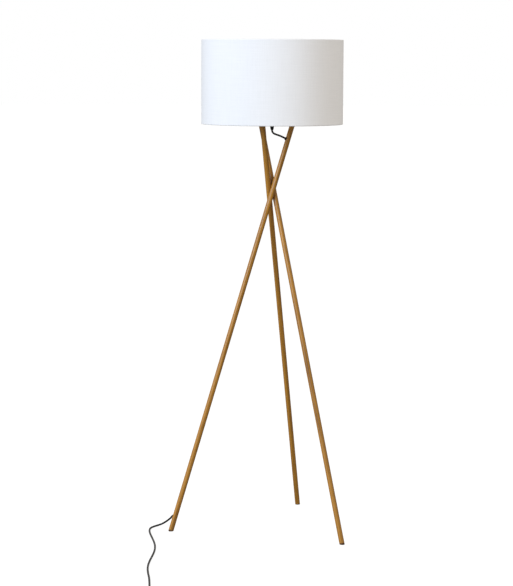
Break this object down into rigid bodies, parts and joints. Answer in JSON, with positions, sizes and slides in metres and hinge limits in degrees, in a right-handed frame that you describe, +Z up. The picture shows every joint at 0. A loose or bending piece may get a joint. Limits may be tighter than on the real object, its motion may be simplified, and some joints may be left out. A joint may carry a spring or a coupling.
{
  "type": "tripod floor lamp",
  "caption": "Floor lamp with a white drum shade on three wood-look tube legs that cross at a narrow waist, with a black lead, foot switch and plug.",
  "frame": {"origin": "the lamp's vertical axis at floor level, midway between the three feet", "axes": "+Z up; the side seen in the picture faces -Y; the leg that carries the lead stands on the -X side"},
  "size_m": [0.6107, 1.2589, 1.534],
  "materials": {
    "shade_cloth": "woven, matt, plain white",
    "shade_liner": "smooth white laminate",
    "shade_wire": "white powder coat",
    "holder_black": "black moulded, satin",
    "holder_ceramic": "unglazed white ceramic",
    "brass": "plain",
    "bulb_glass": "frosted white glass",
    "bulb_cap": "rolled screw shell",
    "bulb_insulator": "black vitrite",
    "zinc_steel": "bright zinc plate",
    "bracket_black": "black powder coat",
    "leg_wood": "steel tube with a brown wood-grain transfer finish, satin",
    "weld": "weld bead under the leg finish",
    "foot_rubber": "dark brown rubber",
    "grommet_rubber": "black rubber",
    "lead_black": "black flexible lead sheath",
    "tie_black": "black hook-and-loop strap",
    "switch_black": "black moulded, fine spark texture",
    "button_black": "black moulded, satin",
    "switch_inside": "off-white moulded",
    "spring_steel": "bright spring wire",
    "plug_black": "black moulded, satin",
    "pin_nickel": "nickel plate"
  },
  "bodies": {
    "lamp": {"shade_fabric": "shade_cloth", "shade_liner": "shade_liner", "shade_top_ring": "shade_wire", "shade_bottom_ring": "shade_wire", "shade_spider": "shade_wire", "shade_ring_lower": "holder_black", "shade_ring_upper": "holder_black", "lampholder_cap": "holder_black", "lampholder_body": "holder_black", "lampholder_core": "holder_ceramic", "lampholder_sleeve": "brass", "lampholder_contact": "brass", "bulb_glass": "bulb_glass", "bulb_cap": "bulb_cap", "bulb_contact": "bulb_insulator", "nipple": "zinc_steel", "nipple_washer": "zinc_steel", "nipple_nut": "zinc_steel", "cable_gland": "holder_black", "top_bracket": "bracket_black", "bracket_screws": "zinc_steel", "bracket_washers": "zinc_steel", "leg_top_plugs": "zinc_steel", "leg_a_upper": "leg_wood", "leg_b_upper": "leg_wood", "leg_c_upper": "leg_wood", "leg_a_lower": "leg_wood", "leg_b_lower": "leg_wood", "leg_c_lower": "leg_wood", "leg_connectors": "zinc_steel", "waist_welds": "weld", "foot_a": "foot_rubber", "foot_b": "foot_rubber", "foot_c": "foot_rubber", "entry_grommet": "grommet_rubber", "exit_grommet": "grommet_rubber", "lead_in_holder": "lead_black", "lead_jumper": "lead_black", "lead_in_leg": "lead_black", "lead_floor": "lead_black", "lead_to_coil": "lead_black", "lead_coil": "lead_black", "lead_tail": "lead_black", "coil_tie": "tie_black", "switch_base": "switch_black", "switch_cover": "switch_black", "switch_spring": "spring_steel", "switch_block": "switch_inside", "switch_screws": "zinc_steel", "switch_sleeves": "switch_black", "plug_body": "plug_black", "plug_pins": "pin_nickel"},
    "button": {"switch_button": "button_black"}
  },
  "joints": [
    {"name": "foot_button", "type": "slide", "parent": "lamp", "child": "button", "axis": [0, 0, -1], "range_m": [0, 0.003], "stiffness_N_per_m": 900, "springref_m": -0.001, "deforming": ["switch_spring"]}
  ]
}
